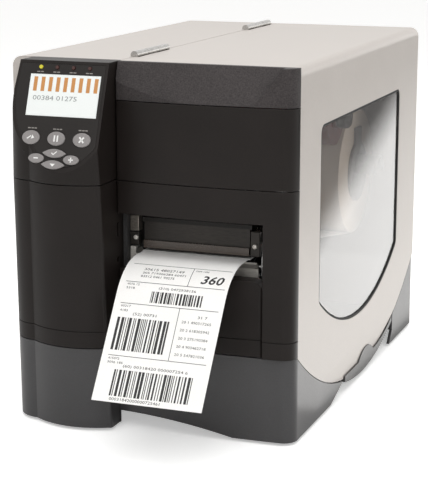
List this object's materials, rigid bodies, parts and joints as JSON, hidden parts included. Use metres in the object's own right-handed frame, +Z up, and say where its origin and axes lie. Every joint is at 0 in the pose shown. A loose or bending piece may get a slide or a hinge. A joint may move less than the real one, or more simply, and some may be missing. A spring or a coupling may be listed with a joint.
{
  "type": "thermal label printer",
  "caption": "Thermal transfer label printer: metal case with lift-up windowed media door, sloped control panel, print mechanism, ribbon spindles and a label roll feeding a printed label.",
  "frame": {"origin": "centre of the printer's overall box on the surface it stands on", "axes": "+Z up, label leaving towards -Y, +X to the media door side, as seen from the front the control column is at -X"},
  "size_m": [0.278, 0.5302, 0.3432],
  "materials": {
    "case_paint": "satin powder coat, warm light grey",
    "front_black": "fine textured black moulding",
    "visor_grey": "grained dark grey moulding",
    "base_grey": "satin dark grey moulding",
    "keypad_film": "printed film",
    "display_face": "backlit pale panel",
    "lamp_lens": "tinted lenses",
    "key_grey": "soft grey keys",
    "soft_rubber": "matt black rubber",
    "frame_alloy": "plain milled alloy",
    "bright_steel": "bright steel",
    "bush_plastic": "natural bearing plastic",
    "pulley_alloy": "turned alloy",
    "motor_steel": "dark plated steel",
    "head_alloy": "finned heat sink",
    "carrier_dark": "dark moulding",
    "strip_ceramic": "glazed brown ceramic",
    "lever_plastic": "grey moulding",
    "spindle_plastic": "dark moulding",
    "ribbon_film": "wound dark film",
    "label_paper": "coated label stock",
    "core_card": "plain card tube",
    "guide_plastic": "grey moulding",
    "board_green": "circuit board",
    "connector_black": "black moulding",
    "port_shell": "plated shells",
    "rear_paint": "satin powder coat",
    "window_clear": "clear, lightly smoked",
    "grip_dark": "satin dark grey moulding"
  },
  "bodies": {
    "case": {"electronics_cover": "case_paint", "column_cover": "front_black", "control_housing": "front_black", "lower_front_cover": "front_black", "base_tray": "base_grey", "keypad_overlay": "keypad_film", "display_module": "display_face", "status_lamps": "lamp_lens", "rubber_feet": "soft_rubber", "timing_belt": "soft_rubber", "centre_frame": "frame_alloy", "mechanism_frame": "frame_alloy", "roll_hanger": "frame_alloy", "head_pivot": "bright_steel", "tear_bar": "bright_steel", "rear_screws": "bright_steel", "hinge_body_leaves": "bright_steel", "platen_bushes": "bush_plastic", "stepper_motor": "motor_steel", "power_supply": "motor_steel", "media_sensor": "carrier_dark", "label_web": "label_paper", "printed_label": "label_paper", "main_board": "board_green", "control_board": "board_green", "power_inlet": "connector_black", "data_ports": "port_shell", "rear_panel": "rear_paint", "option_slot_cover": "rear_paint"},
    "door": {"door_shell": "case_paint", "door_window": "window_clear", "window_clips": "bush_plastic", "door_visor": "visor_grey", "door_front_panel": "front_black", "door_exit_frame": "front_black", "door_grip": "grip_dark", "hinge_door_leaves": "bright_steel"},
    "platen": {"platen_shaft": "bright_steel", "platen_rubber": "soft_rubber", "platen_pulley": "pulley_alloy"},
    "drive": {"motor_pulley": "pulley_alloy"},
    "takeup": {"ribbon_takeup_spindle": "spindle_plastic", "ribbon_takeup_roll": "ribbon_film"},
    "supply": {"ribbon_supply_spindle": "spindle_plastic", "ribbon_supply_roll": "ribbon_film"},
    "media_roll": {"label_roll": "label_paper", "label_core": "core_card"},
    "guide": {"roll_guide": "guide_plastic"},
    "head": {"head_carrier": "carrier_dark", "printhead": "head_alloy", "printhead_strip": "strip_ceramic"},
    "lever": {"head_lever": "lever_plastic"},
    "switch": {"power_switch": "connector_black"},
    "feed_key": {"feed_button": "key_grey"},
    "pause_key": {"pause_button": "key_grey"},
    "cancel_key": {"cancel_button": "key_grey"},
    "minus_key": {"minus_button": "key_grey"},
    "plus_key": {"plus_button": "key_grey"},
    "select_key": {"select_button": "key_grey"},
    "setup_key": {"setup_button": "key_grey"}
  },
  "joints": [
    {"name": "door_hinge", "type": "hinge", "parent": "case", "child": "door", "pos_m": [-0.03, 0.03205, 0.3396], "axis": [0, -1, 0], "range_deg": [0, 170]},
    {"name": "media_roll_spin", "type": "hinge", "parent": "case", "child": "media_roll", "pos_m": [0.038, 0.19005, 0.188], "axis": [1, 0, 0], "continuous": true},
    {"name": "platen_spin", "type": "hinge", "parent": "case", "child": "platen", "pos_m": [0.038, -0.13195, 0.153], "axis": [1, 0, 0], "continuous": true},
    {"name": "drive_spin", "type": "hinge", "parent": "case", "child": "drive", "pos_m": [-0.09, -0.07595, 0.112], "axis": [1, 0, 0], "continuous": true},
    {"name": "takeup_spin", "type": "hinge", "parent": "case", "child": "takeup", "pos_m": [0.038, -0.03795, 0.252], "axis": [1, 0, 0], "continuous": true},
    {"name": "supply_spin", "type": "hinge", "parent": "case", "child": "supply", "pos_m": [0.038, 0.11205, 0.258], "axis": [1, 0, 0], "continuous": true},
    {"name": "guide_slide", "type": "slide", "parent": "case", "child": "guide", "axis": [1, 0, 0], "range_m": [0, 0.018]},
    {"name": "head_lift", "type": "hinge", "parent": "case", "child": "head", "pos_m": [0.038, -0.06795, 0.19], "axis": [-1, 0, 0], "range_deg": [0, 10]},
    {"name": "lever_turn", "type": "hinge", "parent": "case", "child": "lever", "pos_m": [0.038, -0.10595, 0.213], "axis": [-1, 0, 0], "range_deg": [0, 70]},
    {"name": "switch_rock", "type": "hinge", "parent": "case", "child": "switch", "pos_m": [-0.112, 0.25705, 0.15], "axis": [1, 0, 0], "range_deg": [0, 16]},
    {"name": "feed_press", "type": "slide", "parent": "case", "child": "feed_key", "axis": [0, 0.9385, -0.3453], "range_m": [0, 0.0008], "stiffness_N_per_m": 600, "springref_m": -0.0006},
    {"name": "pause_press", "type": "slide", "parent": "case", "child": "pause_key", "axis": [0, 0.9385, -0.3453], "range_m": [0, 0.0008], "stiffness_N_per_m": 600, "springref_m": -0.0006},
    {"name": "cancel_press", "type": "slide", "parent": "case", "child": "cancel_key", "axis": [0, 0.9385, -0.3453], "range_m": [0, 0.0008], "stiffness_N_per_m": 600, "springref_m": -0.0006},
    {"name": "minus_press", "type": "slide", "parent": "case", "child": "minus_key", "axis": [0, 0.9385, -0.3453], "range_m": [0, 0.0008], "stiffness_N_per_m": 600, "springref_m": -0.0006},
    {"name": "plus_press", "type": "slide", "parent": "case", "child": "plus_key", "axis": [0, 0.9385, -0.3453], "range_m": [0, 0.0008], "stiffness_N_per_m": 600, "springref_m": -0.0006},
    {"name": "select_press", "type": "slide", "parent": "case", "child": "select_key", "axis": [0, 0.9385, -0.3453], "range_m": [0, 0.0008], "stiffness_N_per_m": 600, "springref_m": -0.0006},
    {"name": "setup_press", "type": "slide", "parent": "case", "child": "setup_key", "axis": [0, 0.9385, -0.3453], "range_m": [0, 0.0008], "stiffness_N_per_m": 600, "springref_m": -0.0006}
  ],
  "couplings": [
    {"joint": "platen_spin", "follows": "supply_spin", "ratio": 3.125},
    {"joint": "drive_spin", "follows": "supply_spin", "ratio": 6.25},
    {"joint": "takeup_spin", "follows": "supply_spin", "ratio": 1.3636},
    {"joint": "media_roll_spin", "follows": "supply_spin", "ratio": -0.44776},
    {"joint": "lever_turn", "follows": "head_lift", "ratio": 7}
  ]
}
